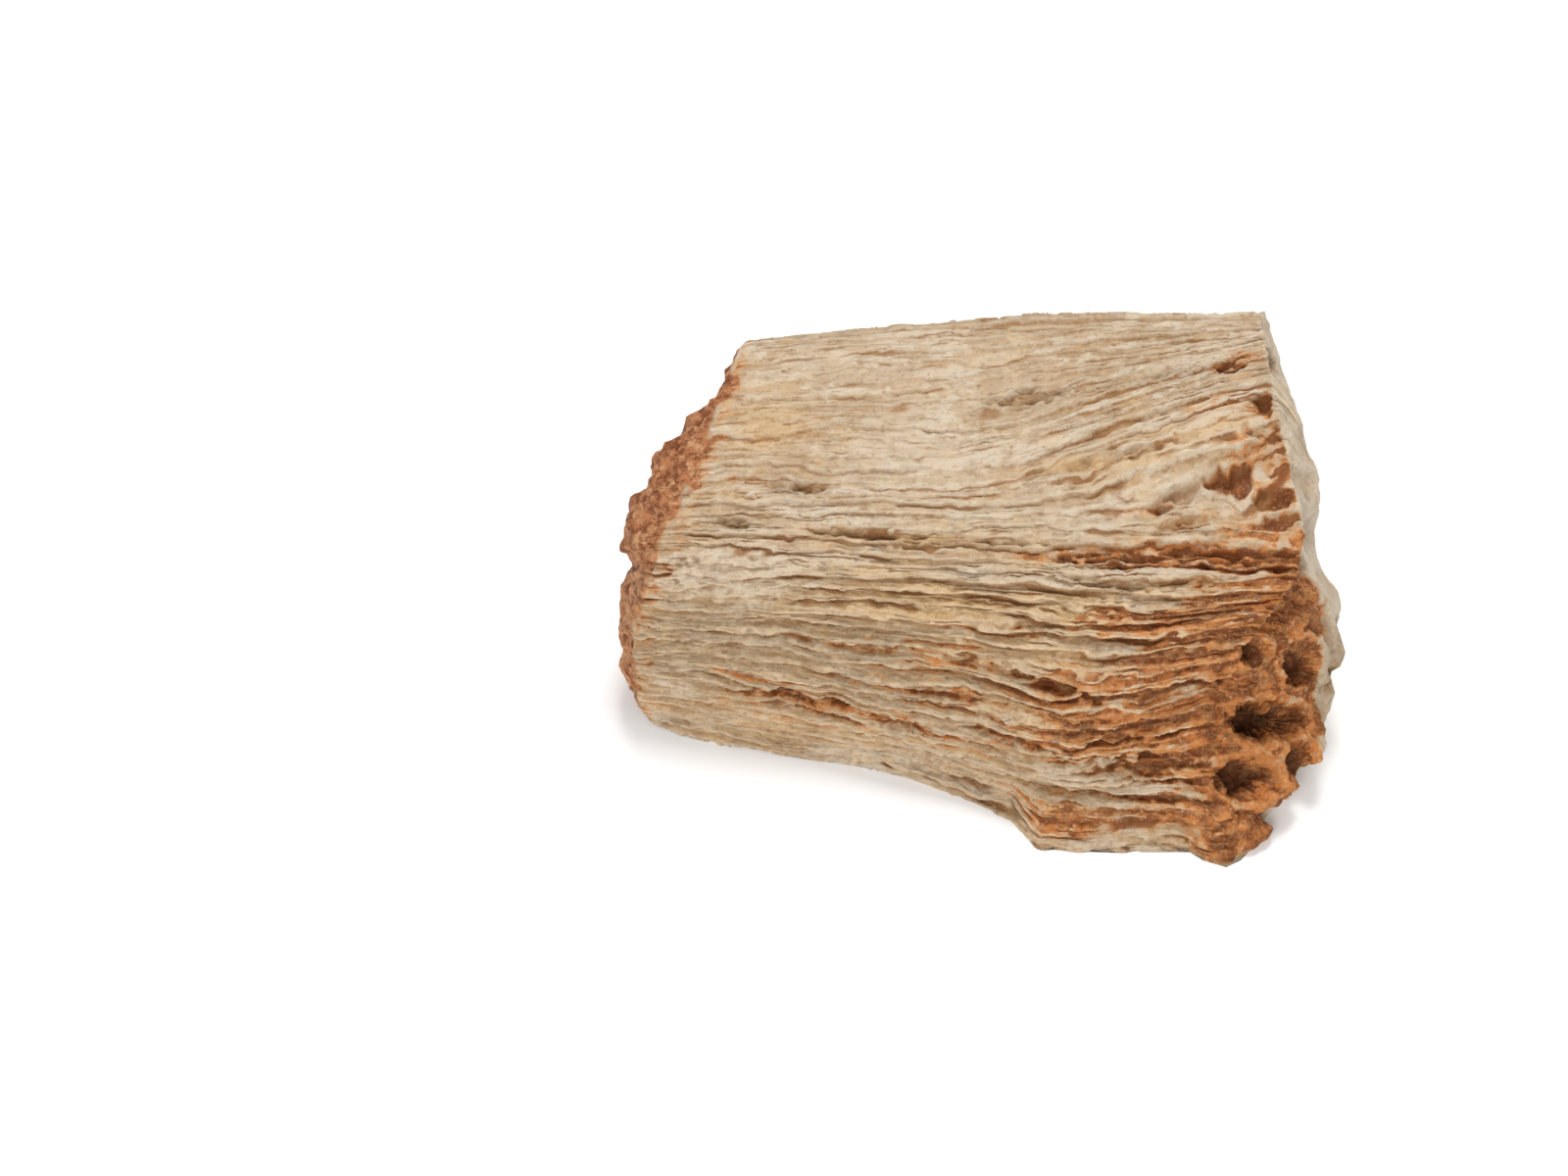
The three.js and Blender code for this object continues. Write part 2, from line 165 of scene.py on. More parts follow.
def floor_share(x, y, steepness=2):
    """1 in the middle of a hollow or patch and 0 outside it, by the share of its half-sizes."""
    return np.exp(-((x * x + y * y) ** steepness))


# Points round the block are close together on the sides that can be seen at once, and further apart
# on the base and the back. Rows run from the right end to the left.
POINTS_PER_LINE = [150, 150, 120, 140, 110, 60, 80, 20, 50, 50, 30]
RIGHT_ROWS, SIDE_ROWS, LEFT_ROWS = 80, 320, 55
across = np.concatenate([line + np.arange(count) / count for line, count in enumerate(POINTS_PER_LINE)])
right_share = np.linspace(0, 1, RIGHT_ROWS + 1)[:-1] ** 0.85
left_share = np.linspace(1, 0, LEFT_ROWS + 1)[1:] ** 0.85
side_across, along = np.meshgrid(across, np.linspace(1, 0, SIDE_ROWS))
side = side_place(side_across, along)
STEP = 0.01
round_way = side_place((side_across + STEP) % len(LINES), along) - side_place(side_across - STEP, along)
forward = side_place(side_across, np.minimum(along + STEP, 1))
forward = forward - side_place(side_across, np.maximum(along - STEP, 0))
outward = np.cross(round_way, forward)
outward /= np.linalg.norm(outward, axis=-1, keepdims=True)

# The side unrolled: millimetres along the corallites, and round a ring of the same girth. Noise that is
# read here runs with the corallites, which fan out on the top towards the right, by this many.
RING = 26.0
FAN = 1.2
fan_out = smooth((along - 0.45) / 0.55) * smooth((side_across - 0.2) / 0.6)
fan_out = fan_out * smooth((2.05 - side_across) / 0.8)
corallite = corallite_at(side_across) + FAN * fan_out
distance = along * BLOCK_LENGTH
turned = corallite * 2 * math.pi / CORALLITES
unrolled = np.stack([distance, RING * np.cos(turned), RING * np.sin(turned)], axis=-1)

# How broken each part of the side is: the front most, the top and the foot less.
on_front = smooth((side_across - 1.3) / 1.4) * smooth((5.9 - side_across) / 0.5)
on_back = smooth((side_across - 7.0) / 0.3) * smooth((10.9 - side_across) / 0.3)
broken = 0.5 + 0.6 * on_front + 0.3 * on_back + 0.4 * fan_out
broken *= 1 - 0.5 * floor_share((side_across - 4.7) / 0.7, (along - 0.1) / 0.3)
broken *= 1 - 0.5 * floor_share((side_across - 2.5) / 0.4, (along - 0.14) / 0.12)

# Hollows where corallites broke out of the sides: line number, place along, half-width in lines,
# half-length along, depth in millimetres, and how far the line number changes along the hollow.
HOLLOWS = [
    (0.75, 0.585, 0.07, 0.075, 1.4, -0.45),
    (0.69, 0.935, 0.08, 0.02, 1.6, 0),
    (1.08, 0.985, 0.09, 0.022, 1.8, 0),
    (1.53, 0.915, 0.1, 0.042, 2.8, -0.4),
    (1.64, 0.82, 0.06, 0.06, 1.6, -1.6),
    (1.84, 0.815, 0.05, 0.055, 1.2, -1.1),
    (1.33, 0.72, 0.04, 0.1, 0.9, -0.7),
    (1.52, 0.19, 0.05, 0.05, 1.1, 0),
    (1.87, 0.1, 0.05, 0.03, 1.3, 0),
    (1.96, 0.4, 0.05, 0.2, 1.2, 0.1),
    (2.12, 0.69, 0.07, 0.08, 1.4, 0),
    (2.1, 0.88, 0.12, 0.13, 1.2, 0),
    (2.38, 0.72, 0.06, 0.06, 1.2, 0.8),
    (2.88, 0.61, 0.06, 0.035, 1.4, 0),
    (3.4, 0.67, 0.06, 0.09, 2.2, 0.9),
    (3.88, 0.84, 0.13, 0.09, 1.6, 0),
    (3.54, 0.11, 0.06, 0.07, 1.0, -0.4),
    (3.34, 0.375, 0.05, 0.04, 1.2, -0.6),
    (3.72, 0.5, 0.06, 0.06, 1.0, -0.3),
    (4.22, 0.265, 0.12, 0.042, 2.4, 0),
    (4.15, 0.345, 0.06, 0.02, 1.8, 0),
    (4.23, 0.455, 0.1, 0.048, 2.4, 0),
    (4.33, 0.885, 0.16, 0.07, 2.6, 0),
    (4.66, 0.82, 0.05, 0.13, 1.5, 0),
    (8.4, 0.3, 0.2, 0.08, 2.4, 0),
    (9.3, 0.66, 0.12, 0.12, 2.2, 0.6),
    (10.2, 0.45, 0.1, 0.07, 1.6, 0),
    (1.26, 0.98, 0.06, 0.03, 1.2, 0),
    (1.66, 0.97, 0.06, 0.035, 1.6, -1.0),
    (1.8, 0.97, 0.05, 0.04, 1.5, -1.0),
    (4.35, 0.33, 0.05, 0.05, 1.2, 0),
    (3.18, 0.25, 0.035, 0.12, 0.9, -0.5),
    (2.75, 0.9, 0.05, 0.08, 1.1, 0),
    (4.1, 0.66, 0.05, 0.08, 1.4, 0.5),
    (0.68, 0.81, 0.035, 0.03, 0.6, 0),
]
# Places where the stone stands out in thick crumbly sheets: line number, place along, half-width,
# half-length and height.
THICK_SHEETS = [
    (2.5, 0.14, 0.42, 0.13, 1.1),
    (2.27, 0.79, 0.06, 0.12, 0.7),
    (2.68, 0.68, 0.1, 0.08, 0.5),
    (4.4, 0.77, 0.12, 0.05, 0.7),
]
# Sheets and septa to a corallite, and how far along, in millimetres, each kind keeps its height.
SHEETS = 3
SEPTA = 7
LEDGE_RUN = 21
SHEET_RUN = 10
SEPTUM_RUN = 6
LEDGE_HEIGHT = 1.35
LUMP_HEIGHT = 0.5
LAYER_HEIGHT = 0.42

ragged = rough(unrolled, 7, 4, 2.5)
jagged = rough(unrolled, 1.6, 3, 1.6)
winding = rough(unrolled, 6, 3, 4.5)
scallop = rough(unrolled, 2.2, 3, 2.6)
crumble = rough(unrolled, 0.9, 2, 1.5)

# A slab stands out from the foot of the front at the right, to a steep broken face.
SLAB_FACE = -31.3
SLAB_SLOPE = 0.72
SLAB_CORNER = 2.6
slab = smooth((along - 0.68 + 0.006 * ragged) / 0.05) * smooth((6.4 - side_across) / 0.3)
slab = slab * smooth((side_across - 4.68 + 0.05 * ragged) / 0.1)
face = SLAB_FACE + SLAB_SLOPE * side[..., 2] - SLAB_CORNER * floor_share((side[..., 0] - 34.5) / 5, 0)
side[..., 1] += np.minimum(face - side[..., 1], 0) * slab

# How much shade is painted into a deep hollow's colour under its upper edge.
UNDER_EDGE_SHADE = 0.35
hollow = np.zeros_like(corallite)
overhung_shade = np.zeros_like(corallite)
for line, place, half_width, half_length, depth, slant in HOLLOWS:
    x = (along - place) / half_length + (0.25 + 0.006 / half_length) * jagged + 0.2 * ragged + 0.15 * crumble
    y = (side_across - line - slant * (along - place)) / half_width + 0.45 * ragged + 0.4 * jagged
    y = y + 0.15 * crumble
    hollow += depth * floor_share(x, y, 2) * (1 + 0.3 * jagged)
    under_edge = floor_share(x, y, 4) * smooth((0.3 - y) / 0.9)
    overhung_shade = np.maximum(overhung_shade, UNDER_EDGE_SHADE * min(depth / 2, 1) * under_edge)

thick = np.zeros_like(corallite)
for line, place, half_width, half_length, sheet_height in THICK_SHEETS:
    x = (along - place) / half_length + 0.35 * jagged + 0.2 * ragged
    y = (side_across - line) / half_width + 0.25 * ragged + 0.2 * jagged
    thick = np.maximum(thick, sheet_height * floor_share(x, y, 4))


def sheets(per_corallite, length, seed, waver):
    """Sheets side by side: their count round the block, the place across each, how far it stands out
    along its run, and the dark gap under its neighbour's lower edge, which opens here and there."""
    counted = corallite * per_corallite + waver
    sheet = np.floor(counted)
    name = np.mod(sheet, CORALLITES * per_corallite)
    lower = counted - sheet
    stands = wander(distance / length + 0.25 * jagged, name * 1.7, seed)
    opened = smooth((wander(distance / length * 1.7, name * 2.3, seed + 9) - 0.3 / per_corallite) / 0.35)
    gap_end = min(0.4, 0.18 * per_corallite)
    opened = opened * smooth(lower / 0.05) * smooth((gap_end - lower) / gap_end * 1.4)
    return counted, lower, stands, opened


# Ledges one corallite high, then sheets a third as high, then the septa, which are about 0.9 mm apart.
ledge_count, lower, stands, gap = sheets(1, LEDGE_RUN, 0.5, 0.14 * winding + 0.1 * scallop)
drop = 1 - smooth((lower - 0.92) / 0.08)
relief = LEDGE_HEIGHT * (0.5 + 0.5 * on_front + 0.2 * fan_out) * (0.45 + 0.55 * stands)
relief = relief * (lower**1.5 * drop - 0.4)
relief += LUMP_HEIGHT * wander(side[..., 0] / 14, side[..., 1] / 9, side[..., 2] / 9)
relief += 0.2 * (1 - on_front) * rough(unrolled, 8, 3, 2.2)
relief -= 0.6 * broken * on_front * gap
# Shade is painted into the stone's colour in the open gaps, just under each ledge's and sheet's lower edge,
# and on a ledge's steep wall.
shade = gap + 0.3 * smooth((0.1 - lower) / 0.1) * smooth(0.5 + stands)
shade = np.maximum(shade, 0.35 * smooth((lower - 0.94) / 0.03) * smooth(0.3 + stands) * on_front)
waver = 0.45 * winding + 0.32 * scallop + 0.06 * crumble
sheet_count, lower, stands, gap = sheets(SHEETS, SHEET_RUN, 2.5, waver)
relief += broken * (0.45 + 0.75 * stands) * (lower**1.3 - 0.4) * (1.1 + 0.5 * on_front)
relief -= 0.8 * broken * on_front * gap
shade = np.maximum(shade, 0.8 * gap + 0.35 * smooth((0.22 - lower) / 0.2) * smooth(0.4 + stands))
waver = 0.9 * winding + 0.35 * scallop + 0.15 * crumble
septum_count, lower, stands, gap = sheets(SEPTA, SEPTUM_RUN, 4.5, waver)
ridged = np.abs(lower * 2 - 1) ** 1.5 - 0.4
relief += broken * (0.3 + 0.35 * stands) * (0.6 * ridged + 0.6 * (lower - 0.5)) - 0.3 * broken * gap
relief += thick * (1 + 0.3 * jagged) - hollow * (1 - 0.35 * ridged)
relief += 0.4 * np.minimum(hollow, 1) * crumble
relief *= 1 - 0.6 * slab
shade = np.maximum(shade, 0.6 * gap) * np.minimum(broken, 1)
shade = np.maximum(shade, overhung_shade)

# Sheets have broken off in layers of one thickness, with steep ragged edges.
relief += 0.1 * broken * crumble
level = (relief + 0.4 * broken * rough(unrolled, 3.5, 3, 3.5) + 0.14 * jagged) / LAYER_HEIGHT
layer = np.floor(level)
layered = LAYER_HEIGHT * (layer + smooth((level - layer - 0.5) * 4 + 0.5))
relief += np.minimum(broken, 1) * (1 - 0.6 * smooth(hollow)) * (layered - relief)

side = side + outward * relief[..., None]
shift = (side - side_place(side_across, along))[[0, -1]]

# The right end: the growth surface, with a cup at the end of each corallite. Most cups are worn down
# to shallow dishes, in rows. The open ones, at the lower front, have thick rims and lean to the front.
CUP_SPACING = 7.3
CUP_WALL = 0.9
CUP_SEPTA = 24
SEPTUM_SHARPNESS = 3.2
# The grid of worn cups: its rows and columns, its first cup, and how far cups stray from their places.
CUP_ROWS, CUP_COLUMNS = 8, 11
FIRST_CUP_Y, FIRST_CUP_Z = -34, 4.2
CUP_STRAY_Y, CUP_STRAY_Z = 1.6, 1.3
# How far the worn cups turn outwards for each millimetre from the middle of growth, in Y and Z.
GROWTH_Y, GROWTH_Z = 34, 5
TURN_Y, TURN_Z = 0.0046, 0.002
WORN_CUP_DEPTH = 1.1
CUP_RIM_HEIGHT = 0.5
# Open cups: the middle of the mouth in X and up the slope, its half-sizes the same two ways, and the depth.
OPEN_CUPS = [
    (45.4, 4.2, 3.3, 3.8, 4.0),
    (40.3, -4.0, 6.2, 3.5, 6.0),
    (37.6, -12.0, 5.4, 3.5, 4.6),
    (45.3, -9.8, 2.8, 3.4, 3.2),
    (37.9, 6.0, 2.8, 2.2, 3.5),
]
OPEN_CUP_AXIS = np.array((-0.5, 0.61, -0.61))
# Level dents across the end, seen in its outline: place up the slope, half-height and depth.
END_DENTS = [(20.5, 5.0, 2.4), (-8.5, 2.2, -1.3), (-17.0, 1.4, 1.6), (-20.5, 1.6, -1.0)]

end_across, share = np.meshgrid(across, right_share)
right_end = end_place(end_across, share, right_middle, stations[:, 5], RIGHT_POLE)
worn = 0.15 * rough(right_end, 1.3, 3)

slope = (right_end[..., 1] + right_end[..., 2]) * math.sqrt(0.5)
for up, half_height, dent in END_DENTS:
    right_end[..., 0] -= dent * floor_share((slope - up) / half_height, 0) * smooth((1 - share) / 0.2)
broken_rim = rough(right_end, 3.0, 3)
open_depth = np.zeros_like(share)
open_rim = np.zeros_like(share)
for x, up, half_width, half_height, depth in OPEN_CUPS:
    aside, above = (right_end[..., 0] - x) / half_width, (slope - up) / half_height
    mouth = np.hypot(aside, above) + 0.5 * worn + 0.14 * broken_rim
    turn = np.mod(np.arctan2(above, aside) * CUP_SEPTA / (2 * math.pi), 1)
    septum = np.clip(1 - np.abs(turn - 0.5) * SEPTUM_SHARPNESS, 0, 1)
    inside = 0.45 * smooth((1 - mouth) / 0.3) + 0.55 * smooth((0.75 - mouth) / 0.4)
    open_depth = np.maximum(open_depth, depth * inside * (1 - 0.25 * septum * smooth((mouth - 0.3) / 0.3)))
    open_rim = np.maximum(open_rim, np.exp(-(((mouth - 1.1) / 0.15) ** 2)))
open_rim = open_rim * (1 - smooth(open_depth / 0.5))
near_open = np.maximum(smooth(open_depth / 0.3), smooth(open_rim / 0.3))

# A worn cup is kept where the end reaches its place, away from the rim and from the open cups. Each
# point then belongs to the cup nearest to it, and the walls stand halfway between cups.
flat = right_end[..., 1:].reshape(-1, 2)
cups = []
row_height = CUP_SPACING * math.sqrt(3) / 2
for row in range(CUP_ROWS):
    for column in range(CUP_COLUMNS):
        z = FIRST_CUP_Z + row * row_height + CUP_STRAY_Z * (chance(row, column, 1) - 0.5)
        y = FIRST_CUP_Y + (column + row % 2 / 2) * CUP_SPACING + CUP_STRAY_Y * (chance(row, column, 2) - 0.5)
        gaps = np.hypot(flat[:, 0] - y, flat[:, 1] - z)
        nearest = int(np.argmin(gaps))
        if gaps[nearest] < 0.6 and share.reshape(-1)[nearest] < 0.9 and near_open.reshape(-1)[nearest] < 0.5:
            cups.append((y, z, WORN_CUP_DEPTH * (0.5 + chance(row, column, 3))))
cups = np.array(cups)

own = np.argmin(np.hypot(flat[:, None, 0] - cups[:, 0], flat[:, None, 1] - cups[:, 1]), axis=1)
offset = flat - cups[own, :2]
out_share = np.hypot(offset[:, 0], offset[:, 1]) / (CUP_SPACING * 0.56)
for y, z, depth in cups:
    way = np.array((y, z)) - cups[own, :2]
    apart = np.hypot(way[:, 0], way[:, 1])
    other = apart > 0.01
    apart = np.where(other, apart, 1)
    toward = (offset * way).sum(axis=1) / apart / ((apart - CUP_WALL) / 2)
    out_share = np.maximum(out_share, np.where(other, toward, 0))
rim_gap = (1 - share.reshape(-1)) * RIGHT_RADIUS
out_share = np.maximum(out_share, 1 - (rim_gap - 0.5) / (CUP_SPACING * 0.4))
angle = np.arctan2(offset[:, 1], offset[:, 0]) + own * 2.4
turn = angle * CUP_SEPTA / (2 * math.pi)
septum = np.clip(1 - np.abs(turn - np.round(turn)) * SEPTUM_SHARPNESS, 0, 1)
worn_depth = cups[own, 2] * smooth((1 - out_share + worn.reshape(-1)) / 0.6)
worn_depth *= 1 - 0.22 * septum * smooth((out_share - 0.25) / 0.4)
worn_depth = worn_depth.reshape(share.shape) * (1 - near_open)
fan = np.stack([
    np.ones_like(share), (right_end[..., 1] - GROWTH_Y) * TURN_Y, (right_end[..., 2] - GROWTH_Z) * TURN_Z
], axis=-1)
fan /= np.linalg.norm(fan, axis=-1, keepdims=True)
right_end = right_end + shift[0] * share[..., None] ** 4 - fan * worn_depth[..., None]
right_end += OPEN_CUP_AXIS * (open_depth - CUP_RIM_HEIGHT * open_rim)[..., None]
cup_depth = worn_depth + open_depth

# The left end: worn across the corallites, under a lumpy rust-coloured crust.
CRUST_HEIGHT = 1.3
# Level dents across it, seen in its outline: place up the slope, half-height and depth.
LEFT_DENTS = [(42.5, 2.2, 1.0), (34.5, 1.6, -0.9), (30.0, 1.8, 1.1), (19.0, 1.5, 1.0), (2.5, 1.5, -0.6)]
left_across, left = np.meshgrid(across, left_share)
left_end = end_place(left_across, left, left_middle, stations[:, 1], LEFT_POLE)
fray = rough(left_end, 5, 3)
left_slope = (left_end[..., 1] + left_end[..., 2]) * math.sqrt(0.5)
crust_height = CRUST_HEIGHT * wander(left_end[..., 0] / 4, left_end[..., 1] / 4.5, left_end[..., 2] / 4.5)
for up, half_height, dent in LEFT_DENTS:
    crust_height = crust_height - dent * floor_share((left_slope - up) / half_height, 0)
left_end = left_end + shift[1] * left[..., None] ** 4
left_end[..., 0] -= crust_height * (1 - left**6)

# The three parts are rows of one skin. Its columns close into a ring, and its first and last rows
# shrink to the ends' middles.
skin = np.concatenate([right_end, side, left_end])


def whole(right_part, side_part, left_part):
    """One value for each point of the skin, from those of the right end, the side and the left end."""
    parts = ((right_part, RIGHT_ROWS), (side_part, SIDE_ROWS), (left_part, LEFT_ROWS))
    return np.concatenate([np.broadcast_to(part, (rows, len(across))) for part, rows in parts])


def blurred(values, rows, columns):
    """Each point's mean with its neighbours, this many to either side."""
    total = values.copy()
    for turn in range(1, columns + 1):
        total += np.roll(values, turn, axis=1) + np.roll(values, -turn, axis=1)
    values = total / (2 * columns + 1)
    pad = ((rows, rows),) + ((0, 0),) * (values.ndim - 1)
    padded = np.pad(values, pad, mode="edge")
    total = sum(padded[start:start + len(values)] for start in range(2 * rows + 1))
    return total / (2 * rows + 1)


# The rims are worn round, most of all at the foot of the right end and at the left end, this far from
# the rim, and crumbly a little further.
ROUND_REACH = 1.8
CRUMBLY_REACH = 3.2
side_distance = np.minimum(1 - along, along) * BLOCK_LENGTH
rim_distance = whole((1 - share) * RIGHT_RADIUS, side_distance, (1 - left) * LEFT_RADIUS)
near_rim = np.exp(-((rim_distance / ROUND_REACH) ** 2))
crumbly_rim = np.exp(-((rim_distance / CRUMBLY_REACH) ** 2))
crumbly_rim = crumbly_rim * smooth((across - 0.5) / 0.6) * smooth((6.2 - across) / 0.6)
near_right = (np.arange(len(skin)) < RIGHT_ROWS + SIDE_ROWS // 2).astype(float)[:, None]
low_right = smooth((across - 1.6) / 0.8) * smooth((6.2 - across) / 0.6)
rim_wear = near_rim * (near_right * (0.25 + 0.35 * low_right) + (1 - near_right) * 0.8)
skin += (blurred(skin, 5, 1) - skin) * rim_wear[..., None]


def skin_normals():
    """The way out of the skin at each point, taken from the smoothed skin."""
    soft = blurred(skin, 5, 5)
    down = np.gradient(soft, axis=0)
    over = np.roll(soft, -1, axis=1) - np.roll(soft, 1, axis=1)
    normals = np.cross(over, down)
    size = np.linalg.norm(normals, axis=-1, keepdims=True)
    return normals / np.maximum(size, 1e-9)


# Crumbled stone: lumps and grain on the crust, along the rims, on the growth end and on the slab. Each
# kind has its size and its height in millimetres. The crust's edge wanders by this many.
LUMPS = (3.2, 0.45)
SMALL_LUMPS = (1.3, 0.42)
GRAIN = (0.7, 0.12)
CRUST_EDGE = 2.6
on_side = smooth((CRUST_EDGE * rough(side, 5, 3) - distance) / 1.2)
crusted = whole(0.0, on_side, smooth(((1 - left) * LEFT_RADIUS + CRUST_EDGE * fray) / 1.2))
lumps = rough(skin, LUMPS[0], 2) * LUMPS[1] + rough(skin + 40, SMALL_LUMPS[0], 2) * SMALL_LUMPS[1]
grain = rough(skin + 80, GRAIN[0], 2)
on_growth = smooth(share / 0.2) * smooth((end_across - 1.9) / 0.4) * smooth((5.9 - end_across) / 0.4)
on_growth = whole(on_growth, 0.0, 0.0)
crumbled = np.maximum(crusted, 1.1 * np.maximum(near_rim, crumbly_rim) * near_right)
crumbled = np.maximum(crumbled, on_growth)
crumbled = np.maximum(crumbled, whole(0.0, 0.9 * slab * smooth((6.0 - side_across) / 0.3), 0.0))
micro = lumps * crumbled + grain * GRAIN[1] * crumbled
micro[[0, -1]] = 0
skin = skin + skin_normals() * micro[..., None]
skin[0] = skin[0].mean(axis=0)
skin[-1] = skin[-1].mean(axis=0)
skin -= BLOCK_CENTRE
skin[..., 2] = np.maximum(skin[..., 2], 0)

# What the stone's colours follow. Lift is the height above the stone round about, in millimetres.
end_turned = corallite_at(across) * 2 * math.pi / CORALLITES
turned = whole(end_turned, turned, end_turned)
run = whole(BLOCK_LENGTH + RIGHT_RADIUS * (1 - share), distance, -LEFT_RADIUS * (1 - left))
fibre = np.stack([run, RING * np.cos(turned), RING * np.sin(turned)], axis=-1)
height = whole(CUP_RIM_HEIGHT * open_rim - cup_depth, relief, 0.0) + micro
lift = height - blurred(blurred(height, 4, 8), 3, 7)
shade = whole(0.0, shade, 0.0)
ledge_count, sheet_count, septum_count = (
    whole(count[:1], count, count[-1:]) for count in (ledge_count, sheet_count, septum_count)
)
front = whole(on_front[:1], on_front, on_front[-1:])
seam = smooth(side_across / 0.05) * smooth((10.98 - side_across) / 0.05)
split = np.minimum(broken * (0.7 + 0.3 * on_front), 1) * seam * (1 - 0.6 * slab) * smooth(along / 0.02)
split = whole(0.0, split * smooth((1 - along + 0.04 * jagged + 0.02 * scallop) / 0.08), 0.0) * (1 - crusted)
recess = whole(cup_depth, 0.45 * hollow, 0.0)

# Patches of colour on the side: line, place along, half-width, half-length, strength.
RUST = [
    (0.72, 0.94, 0.18, 0.05, 0.65),
    (1.08, 0.985, 0.15, 0.04, 0.75),
    (1.05, 0.93, 0.12, 0.07, 0.5),
    (1.34, 0.965, 0.1, 0.06, 0.65),
    (1.53, 0.925, 0.13, 0.05, 1.0),
    (1.55, 0.985, 0.2, 0.03, 0.85),
    (1.86, 0.95, 0.16, 0.1, 0.7),
    (1.72, 0.83, 0.08, 0.1, 0.45),
    (2.1, 0.86, 0.17, 0.2, 1.1),
    (1.3, 0.1, 0.5, 0.08, 0.22),
    (2.1, 0.63, 0.08, 0.1, 0.6),
    (2.42, 0.96, 0.17, 0.12, 1.0),
    (2.65, 0.95, 0.35, 0.12, 1.25),
    (2.78, 0.83, 0.2, 0.14, 1.15),
    (3.2, 0.92, 0.4, 0.17, 1.3),
    (3.45, 0.74, 0.26, 0.15, 1.05),
    (3.9, 0.86, 0.36, 0.2, 1.35),
    (4.3, 0.94, 0.25, 0.1, 1.1),
    (4.1, 0.66, 0.14, 0.14, 0.9),
    (4.2, 0.3, 0.15, 0.11, 1.2),
    (4.2, 0.47, 0.14, 0.09, 1.2),
    (3.72, 0.5, 0.1, 0.09, 0.7),
    (3.95, 0.22, 0.08, 0.1, 0.9),
    (3.4, 0.45, 0.25, 0.2, 0.45),
    (2.95, 0.55, 0.08, 0.12, 0.5),
    (4.35, 0.38, 0.45, 0.36, 0.34),
    (3.9, 0.52, 0.5, 0.25, 0.42),
    (4.55, 0.25, 0.1, 0.15, 0.45),
    (3.0, 0.02, 1.2, 0.015, 0.6),
    (4.85, 0.4, 0.1, 0.25, 0.5),
    (5.0, 0.76, 0.3, 0.1, 0.95),
    (4.8, 0.92, 0.3, 0.1, 1.15),
    (5.2, 0.98, 0.4, 0.06, 0.9),
    (9.5, 0.95, 1.2, 0.12, 0.8),
    (9.0, 0.05, 1.2, 0.08, 0.8),
]
WHITISH = [
    (2.45, 0.14, 0.45, 0.16, 1.0),
    (1.25, 0.4, 0.5, 0.13, 0.7),
    (1.8, 0.6, 0.2, 0.15, 0.6),
    (2.35, 0.55, 0.14, 0.15, 0.7),
    (2.25, 0.78, 0.06, 0.13, 1.0),
    (4.38, 0.75, 0.1, 0.06, 1.0),
    (3.4, 0.84, 0.08, 0.07, 0.8),
    (5.3, 0.5, 0.3, 0.2, 0.7),
    (4.55, 0.6, 0.1, 0.15, 0.6),
    (0.3, 0.3, 0.3, 0.3, 0.4),
]
YELLOWED = [
    (2.75, 0.42, 0.28, 0.18, 1.0),
    (2.72, 0.68, 0.14, 0.1, 0.9),
    (3.3, 0.6, 0.3, 0.14, 0.7),
    (1.35, 0.72, 0.06, 0.11, 0.9),
    (1.2, 0.87, 0.1, 0.1, 0.6),
    (0.95, 0.1, 0.35, 0.09, 0.6),
    (4.5, 0.45, 0.25, 0.3, 0.6),
    (1.97, 0.42, 0.06, 0.2, 0.9),
]
GREYED = [
    (3.6, 0.2, 0.6, 0.28, 0.9),
    (3.4, 0.4, 0.5, 0.26, 1.1),
    (0.75, 0.585, 0.08, 0.08, 1.0),
    (0.7, 0.78, 0.08, 0.1, 0.6),
    (1.52, 0.19, 0.08, 0.06, 0.9),
    (1.87, 0.1, 0.07, 0.05, 1.0),
]


def patches(places):
    """How strong these patches are at each point of the side."""
    total = np.zeros_like(corallite)
    for line, place, half_width, half_length, strength in places:
        x = (along - place) / half_length + 0.2 * jagged
        y = (side_across - line) / half_width + 0.25 * scallop
        total = np.maximum(total, strength * floor_share(x, y))
    return total


lower_front = smooth((end_across - 1.7) / 0.5) * smooth((5.9 - end_across) / 0.5) * 1.2
lower_front = lower_front * smooth((48.8 + 0.8 * broken_rim - right_end[..., 0]) / 1.6)
low_end = smooth((end_across - 2.0) / 0.7) * smooth((5.5 - end_across) / 0.5)
rim_rust = 1.3 * smooth((along + 0.015 * scallop - 0.93) / 0.05) * smooth((side_across - 1.1) / 1.2)
rim_rust = rim_rust * smooth((5.9 - side_across) / 0.5)
rim_rust = np.maximum(rim_rust, 0.45 * smooth((0.045 - along + 0.01 * scallop) / 0.04))
rust = np.maximum(whole(lower_front, np.maximum(patches(RUST), rim_rust), 0.0), crusted)
whitish = whole(1 - np.maximum(smooth(lower_front), 0.7 * low_end), patches(WHITISH), 0.0)
yellowed = whole(0.0, patches(YELLOWED), 0.0)
grey = whole(low_end * (1 - smooth(lower_front)), patches(GREYED), 0.0)

# The skin is a sheet of small faces, rolled up and sewn along its long edges, and drawn together at
# its ends. Then it is thinned, most where it is flat.
TRIANGLES = 196000
rows, columns = skin.shape[:2]
bpy.ops.mesh.primitive_grid_add(x_subdivisions=columns, y_subdivisions=rows - 1, size=2)
coral_block = bpy.context.object
coral_block.name = "coral_block"
mesh = coral_block.data
mesh.name = "coral_block"
ring_at = np.arange((columns + 1) * rows) % (columns + 1) % columns
row_at = np.arange((columns + 1) * rows) // (columns + 1)
mesh.vertices.foreach_set("co", (skin[row_at, ring_at] / 1000).reshape(-1))
painted = (
    ("lift", lift), ("recess", recess), ("rust", rust), ("grey", grey), ("crusted", crusted),
    ("shade", shade), ("front", front), ("whitish", whitish), ("yellowed", yellowed), ("split", split),
    ("ledge_count", ledge_count), ("sheet_count", sheet_count), ("septum_count", septum_count),
)
